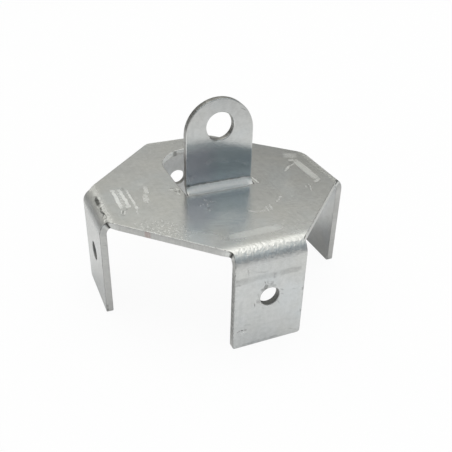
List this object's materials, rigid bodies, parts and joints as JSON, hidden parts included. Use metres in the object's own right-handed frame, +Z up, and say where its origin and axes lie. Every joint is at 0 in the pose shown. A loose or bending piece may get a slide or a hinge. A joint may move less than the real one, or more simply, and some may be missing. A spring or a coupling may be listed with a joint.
{
  "type": "timber end hanger bracket",
  "caption": "Square sheet-steel plate with cut corners, screw legs folded down over the end of a timber, and an upright eye lug folded up out of a window in the plate.",
  "frame": {"origin": "on the ground in the middle of the feet of the legs", "axes": "+Z up along the lug, -Y out of the front leg, on the side the lug's bend faces, +X out of the right-hand leg"},
  "size_m": [0.096, 0.096, 0.0728],
  "materials": {
    "zinc_plated_steel": "bright zinc plating over rolled sheet, with light rub marks from folding"
  },
  "bodies": {
    "root": {"bracket": "zinc_plated_steel"}
  },
  "joints": []
}
